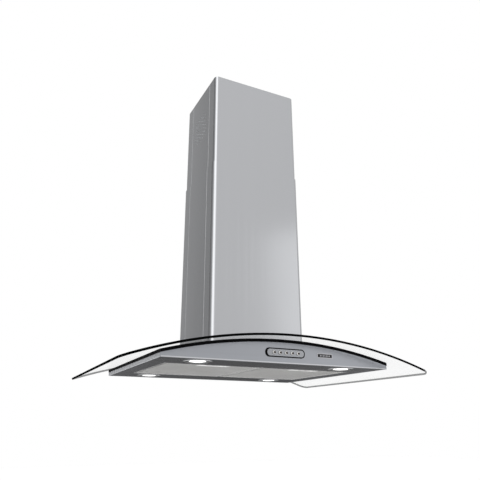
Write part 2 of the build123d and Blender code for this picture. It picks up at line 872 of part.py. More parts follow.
def side_prism(outline, x0, x1):
    """An outline drawn in Y and Z about the fan's axis, extruded from x0 to x1."""
    sheet = Plane(origin=(x0, 0, up(fan_centre)), x_dir=(0, 1, 0), z_dir=(1, 0, 0)) * outline
    return extrude(sheet, x1 - x0)


def make_fan_scroll():
    wrap = side_prism(scroll_outline(0) - scroll_outline(blower_sheet), -scroll_half_width, scroll_half_width)
    side = scroll_outline(0) - Circle(scroll_inlet_radius)
    left = side_prism(side, -scroll_half_width - blower_sheet, -scroll_half_width)
    right = side_prism(side, scroll_half_width, scroll_half_width + blower_sheet)
    return wrap + left + right


def make_impeller():
    """Forward-curved wheel: a middle disc, two end rings and blades, on its shaft."""
    half = impeller_half_width
    ring = Circle(impeller_radius) - Circle(impeller_inner_radius)
    wheel = side_prism(Circle(impeller_radius), -impeller_ring / 2, impeller_ring / 2)
    wheel = wheel + side_prism(ring, half - impeller_ring, half)
    wheel = wheel + side_prism(ring, -half, -half + impeller_ring)
    middle = (impeller_radius + impeller_inner_radius) / 2
    chord = (impeller_radius - impeller_inner_radius) / math.cos(math.radians(impeller_blade_turn))
    chord = chord * impeller_blade_fill
    blades = Sketch()
    for index in range(impeller_blades):
        angle = 360 / impeller_blades * index
        blade = Pos(middle, 0) * Rot(0, 0, impeller_blade_turn) * Rectangle(chord, impeller_blade_thickness)
        blades = blades + Rot(0, 0, angle) * blade
    wheel = wheel + side_prism(blades, -half + impeller_ring / 2, half - impeller_ring / 2)
    wheel = wheel + side_prism(Circle(impeller_hub_radius),
                               -impeller_hub_half_length, impeller_hub_half_length)
    return wheel + side_prism(Circle(shaft_radius), -shaft_length, impeller_hub_half_length)


def make_fan_motor():
    back = -scroll_half_width - blower_sheet
    body = side_prism(Circle(motor_radius), back, -motor_gap)
    body = fillet(body.edges().filter_by(GeomType.CIRCLE), motor_edge_round)
    return body - side_prism(Circle(shaft_radius + shaft_clearance), -shaft_length - shaft_end_room, 0)


def make_motor_spider():
    """The arms that carry the motor across the left inlet."""
    face = -scroll_half_width - blower_sheet
    reach = scroll_inlet_radius + spider_reach
    plan = Circle(spider_hub_radius)
    for index in range(spider_arms):
        arm = Pos(reach / 2, 0) * Rectangle(reach, spider_arm_width)
        plan = plan + Rot(0, 0, 360 / spider_arms * index + spider_first_arm_angle) * arm
    return side_prism(plan, face - spider_thickness, face)


def make_outlet_collar():
    low = up(blower_top)
    tube = Circle(collar_radius) - Circle(collar_radius - collar_wall)
    flange = Circle(collar_radius + collar_flange_width) - Circle(collar_radius - collar_wall)
    collar = prism(tube, low, low + collar_length) + prism(flange, low, low + collar_flange_thickness)
    ledge_top = up(flap_hinge_height) - flap_rod_radius - 2 * flap_ledge_gap
    ledge = Circle(collar_radius - collar_wall) - Circle(collar_radius - collar_wall - flap_ledge_width)
    collar = collar + prism(ledge, ledge_top - flap_ledge_thickness, ledge_top)
    for sign in (-1, 1):
        collar = collar - cross_rod(flap_rod_radius + flap_rod_clearance, -collar_radius - cut_over,
                                    collar_radius + cut_over, sign * flap_hinge_offset, up(flap_hinge_height))
    return collar


def make_flap(sign):
    """Half of the non-return damper, lying shut on its ledge; it swings up about its rod."""
    radius = collar_radius - collar_wall - flap_edge_gap
    hinge = sign * flap_hinge_offset
    cut = Pos(0, sign * (flap_hinge_offset - radius)) * Rectangle(4 * radius, 2 * radius)
    low = up(flap_hinge_height) - flap_rod_radius - flap_ledge_gap
    plate = prism(Circle(radius) - cut, low, low + flap_thickness)
    reach = math.sqrt(collar_radius ** 2 - (flap_hinge_offset + flap_rod_radius) ** 2) - flap_rod_inset
    return plate + cross_rod(flap_rod_radius, -reach, reach, hinge, up(flap_hinge_height))


# ---------------------------------------------------------------- electrical pieces

def standing_box(size, x):
    """A box on the pan behind the filters."""
    width, depth, height = size
    box = block(x - width / 2, x + width / 2, electrics_y - depth / 2, electrics_y + depth / 2,
                up(electrics_floor), up(electrics_floor + height))
    return fillet(box.edges().filter_by(Axis.Z), electrics_corner_round)


def make_lamp_driver():
    x = -(control_box_size[0] + driver_box_size[0]) / 2 - electrics_gap
    return standing_box(driver_box_size, x)


def make_capacitor():
    start = control_box_size[0] / 2 + electrics_gap
    body = cross_rod(capacitor_radius, start, start + capacitor_length, electrics_y,
                     up(electrics_floor + capacitor_radius))
    return fillet(body.edges().filter_by(GeomType.CIRCLE), capacitor_edge_round)


def make_cable_gland():
    low = up(blower_top)
    body = upright_rod(gland_radius, gland_x, gland_y, low, low + gland_height)
    nut = Pos(gland_x, gland_y, low) * extrude(RegularPolygon(gland_nut_radius, 6), gland_nut_height)
    bore = upright_rod(gland_bore_radius, gland_x, gland_y, low - cut_over, low + gland_height + cut_over)
    return body + nut - bore


# ---------------------------------------------------------------- the whole hood

def make_all():
    nodes = {
        "ceiling_plate": make_ceiling_plate(),
        "cover_screws": make_cover_screws(),
        "upper_uprights": make_upper_uprights(),
        "lower_uprights": make_lower_uprights(),
        "height_lock_screws": make_lock_screws(),
        "glass_canopy": make_glass(),
        "glass_seals": make_glass_seals(),
        "glass_clamp_tray": make_clamp_tray(),
        "tray_pillars": make_tray_pillars(),
        "tray_bolts": make_tray_bolts(),
        "front_panel": make_front_panel(),
        "back_panel": end_panel(front=False),
        "left_side_panel": side_panel(-1),
        "right_side_panel": side_panel(1),
        "top_plate": make_top_plate(),
        "underside_pan": make_underside_pan(),
        "filter_seat": make_filter_seat(),
        "lamp_lenses": make_lamp_lenses(),
        "lamp_cans": make_lamp_cans(),
        "control_rim": make_control_rim(),
        "control_plate": make_control_plate(),
        "switch_block": make_switch_block(),
        "badge_plate": make_badge(),
        "blower_box": make_blower_box(),
        "fan_scroll": make_fan_scroll(),
        "fan_impeller": make_impeller(),
        "fan_motor": make_fan_motor(),
        "motor_spider": make_motor_spider(),
        "outlet_collar": make_outlet_collar(),
        "damper_flap_front": make_flap(-1),
        "damper_flap_back": make_flap(1),
        "control_box": standing_box(control_box_size, 0),
        "lamp_driver": make_lamp_driver(),
        "run_capacitor": make_capacitor(),
        "cable_gland": make_cable_gland(),
    }
    nodes.update(make_upper_covers())
    nodes.update(make_lower_covers())
    for name, (x, y) in lamp_places().items():
        nodes["lamp_bezel_" + name] = make_lamp_bezel(x, y)
    for index, x in enumerate(button_places()):
        nodes["push_button_" + str(index + 1)] = make_button(x)
    for name, side in (("left", -1), ("right", 1)):
        nodes["filter_frame_" + name] = make_filter_frame(side)
        nodes["filter_mesh_" + name] = make_filter_mesh(side)
        nodes["filter_pull_" + name] = make_filter_pull(side)
        nodes["filter_latch_" + name] = make_filter_latch(side)
    return nodes


def main():
    os.makedirs("parts", exist_ok=True)
    for name, shape in make_all().items():
        save(name, shape)


main()
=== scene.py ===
"""Looks of a ceiling-hung island range hood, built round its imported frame.

Each sub-assembly is a class that models its own pieces and dresses the frame's
nodes. Each finish is a frozen dataclass that makes one procedural material.
Lengths are metres, +Z is up and -Y is the front.
"""
import logging
import math
from dataclasses import dataclass
from enum import Enum
from typing import Callable, Sequence

import bmesh
import bpy
from mathutils import Euler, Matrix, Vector


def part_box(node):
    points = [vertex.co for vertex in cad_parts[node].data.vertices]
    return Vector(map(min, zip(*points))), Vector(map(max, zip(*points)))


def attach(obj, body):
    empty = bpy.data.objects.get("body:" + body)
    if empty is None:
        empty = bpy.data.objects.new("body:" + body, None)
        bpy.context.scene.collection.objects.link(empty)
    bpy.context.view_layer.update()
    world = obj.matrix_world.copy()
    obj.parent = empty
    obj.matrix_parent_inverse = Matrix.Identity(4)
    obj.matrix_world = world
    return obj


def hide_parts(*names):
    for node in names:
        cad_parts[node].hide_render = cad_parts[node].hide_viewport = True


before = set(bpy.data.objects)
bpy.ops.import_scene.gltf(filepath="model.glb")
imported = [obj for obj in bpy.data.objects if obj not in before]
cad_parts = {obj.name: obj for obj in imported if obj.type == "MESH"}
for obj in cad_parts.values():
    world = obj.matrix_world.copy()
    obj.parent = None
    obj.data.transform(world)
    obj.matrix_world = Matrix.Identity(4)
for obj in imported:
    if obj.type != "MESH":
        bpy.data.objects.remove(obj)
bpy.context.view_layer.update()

LOG = logging.getLogger("hood")
Colour = tuple[float, float, float]
Socket = bpy.types.NodeSocket


# ------------------------------------------------------------------ node trees


class NodeSheet:
    """The node tree of one new material, with short calls for what the finishes share."""

    def __init__(self, name: str) -> None:
        """Starts a material with a Principled shader.

        Args:
            name: the material's name.
        """
        self.material = bpy.data.materials.new(name)
        self.material.use_nodes = True
        self.tree = self.material.node_tree
        self.tree.nodes.clear()
        output = self.tree.nodes.new("ShaderNodeOutputMaterial")
        self.shader = self.tree.nodes.new("ShaderNodeBsdfPrincipled")
        self.tree.links.new(self.shader.outputs[0], output.inputs["Surface"])
        self.coords = self.tree.nodes.new("ShaderNodeTexCoord").outputs["Object"]

    def node(self, kind: str, settings: dict | None = None, **inputs: object) -> bpy.types.Node:
        """Adds a node.

        Args:
            kind: the node's type name.
            settings: the node's own properties.
            inputs: values or sockets for its inputs, by name with spaces as underscores.

        Returns:
            The new node.
        """
        made = self.tree.nodes.new(kind)
        for key, value in (settings or {}).items():
            setattr(made, key, value)
        for key, value in inputs.items():
            self.feed(made.inputs[key.replace("_", " ")], value)
        return made

    def feed(self, socket: Socket, value: object) -> None:
        """Links a socket into an input, or sets the input's value."""
        if isinstance(value, bpy.types.NodeSocket):
            self.tree.links.new(value, socket)
        else:
            socket.default_value = value

    def base(self, **inputs: object) -> None:
        """Sets or links the Principled shader's inputs, by name with spaces as underscores."""
        for key, value in inputs.items():
            self.feed(self.shader.inputs[key.replace("_", " ")], value)

    def placed(self, scale: Sequence[float], turn: Sequence[float] = (0, 0, 0)) -> Socket:
        """The object coordinates, scaled and turned.

        Args:
            scale: the scale along each axis.
            turn: the turn about each axis, in radians.

        Returns:
            The mapped vector.
        """
        return self.node("ShaderNodeMapping", Vector=self.coords, Scale=scale, Rotation=turn).outputs[0]

    def noise(self, vector: Socket, scale: float, detail: float = 3.0, rough: float = 0.55) -> Socket:
        """A noise pattern's value."""
        made = self.node("ShaderNodeTexNoise", Vector=vector, Scale=scale, Detail=detail, Roughness=rough)
        return made.outputs[0]

    def cells(self, vector: Socket, scale: float, feature: str = "F1") -> bpy.types.Node:
        """A cell pattern's node."""
        return self.node("ShaderNodeTexVoronoi", {"feature": feature}, Vector=vector, Scale=scale)

    def spread(self, value: Socket, low: float, high: float, start: float = 0.3, end: float = 0.7) -> Socket:
        """Maps a pattern's middle range on to low..high.

        Args:
            value: the pattern.
            low: the result at start.
            high: the result at end.
            start: the pattern's value that gives low.
            end: the pattern's value that gives high.

        Returns:
            The mapped value.
        """
        made = self.node("ShaderNodeMapRange", Value=value)
        for index, number in enumerate((start, end, low, high), 1):
            made.inputs[index].default_value = number
        return made.outputs[0]

    def sums(self, operation: str, first: object, second: object) -> Socket:
        """A math node's result."""
        made = self.node("ShaderNodeMath", {"operation": operation})
        self.feed(made.inputs[0], first)
        self.feed(made.inputs[1], second)
        return made.outputs[0]

    def mixed(self, share: Socket, first: Colour, second: Colour) -> Socket:
        """A colour between two, by a pattern."""
        made = self.node("ShaderNodeMix", {"data_type": "RGBA"})
        self.feed(made.inputs[0], share)
        made.inputs[6].default_value = (*first, 1.0)
        made.inputs[7].default_value = (*second, 1.0)
        return made.outputs[2]

    def bump(self, height: Socket, strength: float, distance: float) -> None:
        """Raises the surface by a pattern, for shading only."""
        made = self.node("ShaderNodeBump", Height=height, Strength=strength, Distance=distance)
        self.feed(self.shader.inputs["Normal"], made.outputs[0])


def shade(colour: Colour, factor: float) -> Colour:
    """A colour made lighter or darker."""
    return tuple(min(1.0, channel * factor) for channel in colour)


# ------------------------------------------------------------------ finishes


class Grain(Enum):
    """The direction that a sheet is brushed in, as the scale of its grain pattern."""

    ALONG_X = (5.0, 900.0, 900.0)
    ALONG_Y = (900.0, 5.0, 900.0)
    ALONG_Z = (900.0, 900.0, 5.0)


@dataclass(frozen=True)
class BrushedSteel:
    """Stainless sheet with a directional brushed grain, faint cloudiness and handling marks."""

    name: str
    tint: Colour
    roughness: float
    grain: Grain
    streak: float = 0.06
    anisotropy: float = 0.3
    edge_tint: float = 1.0
    bite: float = 0.02

    def build(self) -> bpy.types.Material:
        """Makes the material."""
        sheet = NodeSheet(self.name)
        fine = sheet.noise(sheet.placed(self.grain.value), 1.0, 4.0)
        broad = sheet.noise(sheet.placed(tuple(s / 7 for s in self.grain.value)), 1.0, 2.0)
        streaks = sheet.sums("MULTIPLY_ADD", broad, 0.4)
        sheet.feed(streaks.node.inputs[2], sheet.sums("MULTIPLY", fine, 0.6))
        cloud = sheet.noise(sheet.placed((3.0, 3.0, 3.0)), 1.0, 3.0)
        tone = sheet.mixed(sheet.spread(streaks, 0.0, 1.0, 0.35, 0.65),
                           shade(self.tint, 1 - self.streak), shade(self.tint, 1 + self.streak))
        rough = sheet.sums("ADD", sheet.spread(streaks, -0.02, 0.02), sheet.spread(cloud, -0.01, 0.02))
        sheet.base(Base_Color=tone, Metallic=1.0, Anisotropic=self.anisotropy,
                   Roughness=sheet.sums("ADD", rough, self.roughness),
                   Specular_Tint=(self.edge_tint, self.edge_tint, self.edge_tint, 1.0))
        sheet.bump(fine, self.bite, 0.00006)
        return sheet.material


@dataclass(frozen=True)
class GalvanisedSteel:
    """Zinc-coated sheet with its spangle and dull patches."""

    name: str
    tint: Colour = (0.50, 0.52, 0.54)
    roughness: float = 0.38
    spangle: float = 140.0

    def build(self) -> bpy.types.Material:
        """Makes the material."""
        sheet = NodeSheet(self.name)
        where = sheet.placed((1.0, 1.0, 1.0))
        flakes = sheet.cells(where, self.spangle).outputs["Color"]
        flake = sheet.node("ShaderNodeSeparateColor", Color=flakes).outputs[0]
        dull = sheet.noise(where, 18.0, 4.0)
        share = sheet.sums("MULTIPLY", flake, sheet.spread(dull, 0.5, 1.0))
        tone = sheet.mixed(share, shade(self.tint, 0.82), shade(self.tint, 1.15))
        sheet.base(Base_Color=tone, Metallic=1.0,
                   Roughness=sheet.spread(share, self.roughness + 0.1, self.roughness - 0.06, 0.0, 1.0))
        sheet.bump(sheet.noise(where, 420.0, 2.0), 0.06, 0.0001)
        return sheet.material


@dataclass(frozen=True)
class PolishedMetal:
    """Plated or polished metal with fine wiping scratches."""

    name: str
    tint: Colour
    roughness: float

    def build(self) -> bpy.types.Material:
        """Makes the material."""
        sheet = NodeSheet(self.name)
        first = sheet.noise(sheet.placed((1800.0, 60.0, 60.0), (0.0, 0.0, 0.7)), 1.0, 2.0)
        second = sheet.noise(sheet.placed((60.0, 1600.0, 60.0), (0.0, 0.4, 0.3)), 1.0, 2.0)
        hairs = sheet.sums("MAXIMUM", sheet.spread(first, 0.0, 1.0, 0.62, 0.7),
                           sheet.spread(second, 0.0, 1.0, 0.64, 0.72))
        mist = sheet.noise(sheet.placed((40.0, 40.0, 40.0)), 1.0, 3.0)
        rough = sheet.sums("ADD", sheet.spread(hairs, 0.0, 0.10, 0.0, 1.0), sheet.spread(mist, -0.02, 0.03))
        sheet.base(Base_Color=sheet.mixed(mist, shade(self.tint, 0.96), self.tint), Metallic=1.0,
                   Roughness=sheet.sums("ADD", rough, self.roughness))
        sheet.bump(hairs, 0.04, 0.00002)
        return sheet.material


@dataclass(frozen=True)
class GrainedBody:
    """Cast, coated or moulded matter with a fine surface grain: painted metal, plastic or rubber."""

    name: str
    tint: Colour
    roughness: float
    grain: float
    depth: float
    metallic: float = 0.0
    specular: float = 0.5

    def build(self) -> bpy.types.Material:
        """Makes the material."""
        sheet = NodeSheet(self.name)
        where = sheet.placed((1.0, 1.0, 1.0))
        grain = sheet.noise(where, self.grain, 3.0, 0.6)
        patch = sheet.noise(where, 22.0, 3.0)
        tone = sheet.mixed(sheet.spread(patch, 0.0, 1.0), shade(self.tint, 0.86), shade(self.tint, 1.12))
        sheet.base(Base_Color=tone, Metallic=self.metallic, Specular_IOR_Level=self.specular,
                   Roughness=sheet.sums("ADD", sheet.spread(grain, -0.06, 0.06), self.roughness))
        sheet.bump(grain, 0.35, self.depth)
        return sheet.material


@dataclass(frozen=True)
class ClearGlass:
    """Toughened clear plate: a faint film of tint and shine over what is behind it."""

    name: str
    tint: Colour = (0.62, 0.64, 0.64)
    body: float = 0.085

    def build(self) -> bpy.types.Material:
        """Makes the material."""
        sheet = NodeSheet(self.name)
        film = sheet.noise(sheet.placed((5.0, 5.0, 5.0)), 1.0, 4.0)
        sheet.base(Base_Color=sheet.mixed(film, shade(self.tint, 0.96), self.tint), Alpha=self.body, IOR=1.5,
                   Roughness=sheet.spread(film, 0.01, 0.04))
        sheet.bump(sheet.noise(sheet.placed((9.0, 9.0, 9.0)), 1.0, 1.0), 0.02, 0.0004)
        return sheet.material


@dataclass(frozen=True)
class GroundEdge:
    """The ground and polished edge of the glass, painted near black: painted shade for the dark look that the
    glass's depth gives end-on.
    """

    name: str
    tint: Colour
    roughness: float = 0.22
    body: float = 1.0

    def build(self) -> bpy.types.Material:
        """Makes the material."""
        sheet = NodeSheet(self.name)
        lines = sheet.noise(sheet.placed((30.0, 30.0, 1500.0)), 1.0, 3.0)
        tone = sheet.mixed(lines, shade(self.tint, 0.6), shade(self.tint, 1.6))
        sheet.base(Base_Color=tone, Alpha=self.body,
                   Roughness=sheet.spread(lines, self.roughness - 0.05, self.roughness + 0.08),
                   Specular_IOR_Level=0.0)
        sheet.bump(lines, 0.08, 0.00004)
        return sheet.material


@dataclass(frozen=True)
class LampGlass:
    """A lit lens: frosted glass that glows, its tone varied a little by a fine noise."""

    name: str
    glow: float

    def build(self) -> bpy.types.Material:
        """Makes the material."""
        sheet = NodeSheet(self.name)
        frost = sheet.noise(sheet.placed((600.0, 600.0, 600.0)), 1.0, 2.0)
        shown = sheet.mixed(sheet.spread(frost, 0.0, 1.0), (0.98, 0.97, 0.94), (1.0, 1.0, 1.0))
        sheet.base(Base_Color=shown, Roughness=0.35, Emission_Color=shown, Emission_Strength=self.glow)
        sheet.bump(frost, 0.2, 0.0001)
        return sheet.material


@dataclass(frozen=True)
class AluminiumMesh:
    """Expanded aluminium: soft, slightly warm, with each strand's own tone."""

    name: str
    tint: Colour
    metallic: float
    roughness: float

    def build(self) -> bpy.types.Material:
        """Makes the material."""
        sheet = NodeSheet(self.name)
        where = sheet.placed((1.0, 1.0, 1.0))
        strand = sheet.noise(where, 330.0, 2.0)
        drift = sheet.noise(where, 9.0, 3.0)
        share = sheet.sums("MULTIPLY_ADD", strand, 0.6)
        sheet.feed(share.node.inputs[2], sheet.sums("MULTIPLY", drift, 0.4))
        tone = sheet.mixed(sheet.spread(share, 0.0, 1.0), shade(self.tint, 0.84), shade(self.tint, 1.12))
        sheet.base(Base_Color=tone, Metallic=self.metallic,
                   Roughness=sheet.spread(strand, self.roughness - 0.08, self.roughness + 0.1))
        sheet.bump(strand, 0.3, 0.0002)
        return sheet.material


# ------------------------------------------------------------------ bench work


class Bench:
    """Modelling moves shared by every piece: start a primitive, edit it, finish it."""

    slab_corner_steps: int = 8

    @staticmethod
    def clear() -> None:
        """Deselects every object."""
        bpy.ops.object.select_all(action="DESELECT")

    @classmethod
    def plate(cls, name: str, width: float, depth: float) -> bpy.types.Object:
        """A flat rectangle about the origin, as a start.

        Args:
            name: the piece's name.
            width: its size along X.
            depth: its size along Y.

        Returns:
            The new object.
        """
        cls.clear()
        bpy.ops.mesh.primitive_plane_add(size=1.0)
        return cls._started(name, (width, depth, 1.0))

    @classmethod
    def disc(cls, name: str, radius: float, corners: int) -> bpy.types.Object:
        """A filled circle about the origin, as a start."""
        cls.clear()
        bpy.ops.mesh.primitive_circle_add(radius=radius, vertices=corners, fill_type="NGON")
        return cls._started(name, (1.0, 1.0, 1.0))

    @classmethod
    def _started(cls, name: str, scale: Sequence[float]) -> bpy.types.Object:
        """Names the new primitive and fixes its size."""
        piece = bpy.context.object
        piece.name = name
        piece.data.name = name
        piece.scale = scale
        cls.settle(piece)
        return piece

    @classmethod
    def settle(cls, piece: bpy.types.Object) -> None:
        """Writes the object's place, turn and scale into its mesh."""
        cls.pick(piece)
        bpy.ops.object.transform_apply(location=True, rotation=True, scale=True)

    @classmethod
    def pick(cls, piece: bpy.types.Object) -> None:
        """Makes one object the only selected and the active one."""
        cls.clear()
        piece.select_set(True)
        bpy.context.view_layer.objects.active = piece

    @classmethod
    def turned(cls, piece: bpy.types.Object, turn: Sequence[float],
               place: Sequence[float] = (0, 0, 0)) -> None:
        """Turns and moves a piece, then writes that into its mesh.

        Args:
            piece: the object.
            turn: its turn about each axis, in radians.
            place: where its origin goes.
        """
        piece.rotation_euler = turn
        piece.location = place
        cls.settle(piece)

    @classmethod
    def edit(cls, piece: bpy.types.Object, kind: str = "FACE") -> None:
        """Enters edit mode with nothing selected, in one select mode."""
        cls.pick(piece)
        bpy.ops.object.mode_set(mode="EDIT")
        bpy.ops.mesh.select_mode(type=kind)
        bpy.ops.mesh.select_all(action="DESELECT")

    @staticmethod
    def done() -> None:
        """Leaves edit mode."""
        bpy.ops.object.mode_set(mode="OBJECT")

    @staticmethod
    def faces(piece: bpy.types.Object, test: Callable[[bmesh.types.BMFace], bool]) -> None:
        """Selects the faces that pass a test, in edit mode."""
        form = bmesh.from_edit_mesh(piece.data)
        for face in form.faces:
            face.select_set(bool(test(face)))
        bmesh.update_edit_mesh(piece.data)

    @classmethod
    def rounded(cls, piece: bpy.types.Object, radius: float, segments: int) -> None:
        """Rounds the corners of a flat plate."""
        cls.edit(piece, "VERT")
        bpy.ops.mesh.select_all(action="SELECT")
        bpy.ops.mesh.bevel(offset=radius, segments=segments, affect="VERTICES")
        cls.done()

    @classmethod
    def slab(cls, name: str, size: Sequence[float], radius: float, height: float) -> bpy.types.Object:
        """A plate with round corners, raised to a height above z = 0.

        Args:
            name: the piece's name.
            size: its width and depth.
            radius: its corner radius.
            height: its height.

        Returns:
            The new object.
        """
        piece = cls.plate(name, *size)
        cls.rounded(piece, radius, cls.slab_corner_steps)
        cls.edit(piece)
        bpy.ops.mesh.select_all(action="SELECT")
        bpy.ops.mesh.extrude_region_move(TRANSFORM_OT_translate={"value": (0, 0, height)})
        bpy.ops.mesh.select_all(action="SELECT")
        bpy.ops.mesh.normals_make_consistent(inside=False)
        cls.done()
        return piece

    @classmethod
    def cut(cls, piece: bpy.types.Object, places: Sequence[Sequence[float]], normal: Sequence[float],
            drop: bool = False) -> None:
        """Cuts a mesh by parallel planes.

        Args:
            piece: the object.
            places: a point on each plane.
            normal: the planes' normal.
            drop: whether the part on the normal's side is removed.
        """
        cls.edit(piece)
        for place in places:
            bpy.ops.mesh.select_all(action="SELECT")
            bpy.ops.mesh.bisect(plane_co=place, plane_no=normal, clear_outer=drop)
        cls.done()

    @classmethod
    def finished_with(cls, piece: bpy.types.Object, kind: str, **settings: object) -> None:
        """Adds a modifier and applies it.

        Args:
            piece: the object.
            kind: the modifier's type.
            settings: its settings.
        """
        cls.pick(piece)
        added = piece.modifiers.new(kind.title(), kind)
        for key, value in settings.items():
            setattr(added, key, value)
        bpy.ops.object.modifier_apply(modifier=added.name)

    @classmethod
    def smooth(cls, piece: bpy.types.Object, degrees: float = 35.0) -> None:
        """Shades a piece smooth, apart from its sharp edges."""
        cls.pick(piece)
        bpy.ops.object.shade_smooth_by_angle(angle=math.radians(degrees))

    @staticmethod
    def coat(piece: bpy.types.Object, *finishes: bpy.types.Material) -> None:
        """Gives a piece its material slots, in order."""
        piece.data.materials.clear()
        for finish in finishes:
            piece.data.materials.append(finish)


def dress(finish: bpy.types.Material, *nodes: str) -> None:
    """Gives frame nodes a finish."""
    for name in nodes:
        Bench.coat(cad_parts[name], finish)


def finished_piece(piece: bpy.types.Object, body: str, slot: str, *stands_for: str) -> None:
    """Joins a modelled piece to the frame.

    Args:
        piece: the modelled object.
        body: the body it rides on.
        slot: the record's material slot; not used.
        stands_for: the frame nodes that it replaces.
    """
    if stands_for:
        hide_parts(*stands_for)
    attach(piece, body)
    LOG.info("%s: %d faces, on %s", piece.name, len(piece.data.polygons), body)


# ------------------------------------------------------------------ sub-assemblies


@dataclass
class GlassCanopy:
    """The arched glass plate with its ground edges, and the black seals that it lies on."""

    thickness: float = 0.006
    arch_radius: float = 1.350
    corner_radius: float = 0.026
    opening: tuple[float, float] = (0.292, 0.250)
    edge_round: float = 0.0012
    arch_steps: int = 60
    cut_clear: float = 0.002
    corner_steps: int = 10
    edge_steps: int = 3
    far_share: float = 0.97
    clear: ClearGlass = ClearGlass("canopy_glass_clear")
    # The rim faces take a near-black finish: painted shade, not the colour of the glass.
    edge: GroundEdge = GroundEdge("canopy_glass_edge_painted_dark", (0.0016, 0.002, 0.002))
    # The right and back rims take a lighter, part see-through copy of the rim finish: painted light for how
    # those rims look from the front left.
    far_rim_painted_lighter: GroundEdge = GroundEdge("canopy_glass_far_edge_painted_lighter", (0.010, 0.012, 0.012), body=0.75)
    rubber: GrainedBody = GrainedBody("seal_rubber_black", (0.0015, 0.0015, 0.002), 0.6, 900.0, 0.0001,
                                      specular=0.04)

    def build(self) -> None:
        """Models the plate flat, rounds its edges, and bends it to the arch."""
        low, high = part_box("glass_canopy")
        half_turn = math.asin(high.x / (self.arch_radius + self.thickness / 2))
        length = 2 * half_turn * self.arch_radius
        plate = Bench.plate("arched_glass", length, high.y - low.y)
        Bench.rounded(plate, self.corner_radius, self.corner_steps)
        hole_x = self.arch_radius * math.asin(self.opening[0] / 2 / self.arch_radius)
        hole_y = self.opening[1] / 2
        steps = [(-length / 2 + length * (index + 0.5) / self.arch_steps, 0, 0)
                 for index in range(self.arch_steps)]
        clear_steps = [place for place in steps if abs(abs(place[0]) - hole_x) > self.cut_clear]
        Bench.cut(plate, clear_steps, (1, 0, 0))
        Bench.cut(plate, [(-hole_x, 0, 0), (hole_x, 0, 0)], (1, 0, 0))
        Bench.cut(plate, [(0, -hole_y, 0), (0, hole_y, 0)], (0, 1, 0))
        Bench.edit(plate)
        Bench.faces(plate, lambda face: abs(face.calc_center_median().x) < hole_x
                    and abs(face.calc_center_median().y) < hole_y)
        bpy.ops.mesh.delete(type="FACE")
        Bench.done()
        Bench.finished_with(plate, "SOLIDIFY", thickness=self.thickness, offset=0.0)
        Bench.finished_with(plate, "BEVEL", width=self.edge_round, segments=self.edge_steps,
                            limit_method="ANGLE", angle_limit=math.radians(50))
        Bench.coat(plate, self.clear.build(), self.edge.build(), self.far_rim_painted_lighter.build())
        # Flat faces take the clear glass; rim faces take the painted shade, and the right and back rims take
        # its lighter painted copy.
        for face in plate.data.polygons:
            far = face.center.x > high.x * self.far_share or face.center.y > high.y * self.far_share
            face.material_index = 0 if abs(face.normal.z) > 0.999 else (2 if far else 1)
        Bench.turned(plate, (math.pi / 2, 0, 0))
        Bench.finished_with(plate, "SIMPLE_DEFORM", deform_method="BEND", deform_axis="Z",
                            angle=2 * half_turn)
        Bench.turned(plate, (-math.pi / 2, 0, 0), (0, 0, high.z - self.thickness / 2))
        Bench.smooth(plate)
        finished_piece(plate, "hood", "canopy_glass", "glass_canopy")
        dress(self.rubber.build(), "glass_seals")


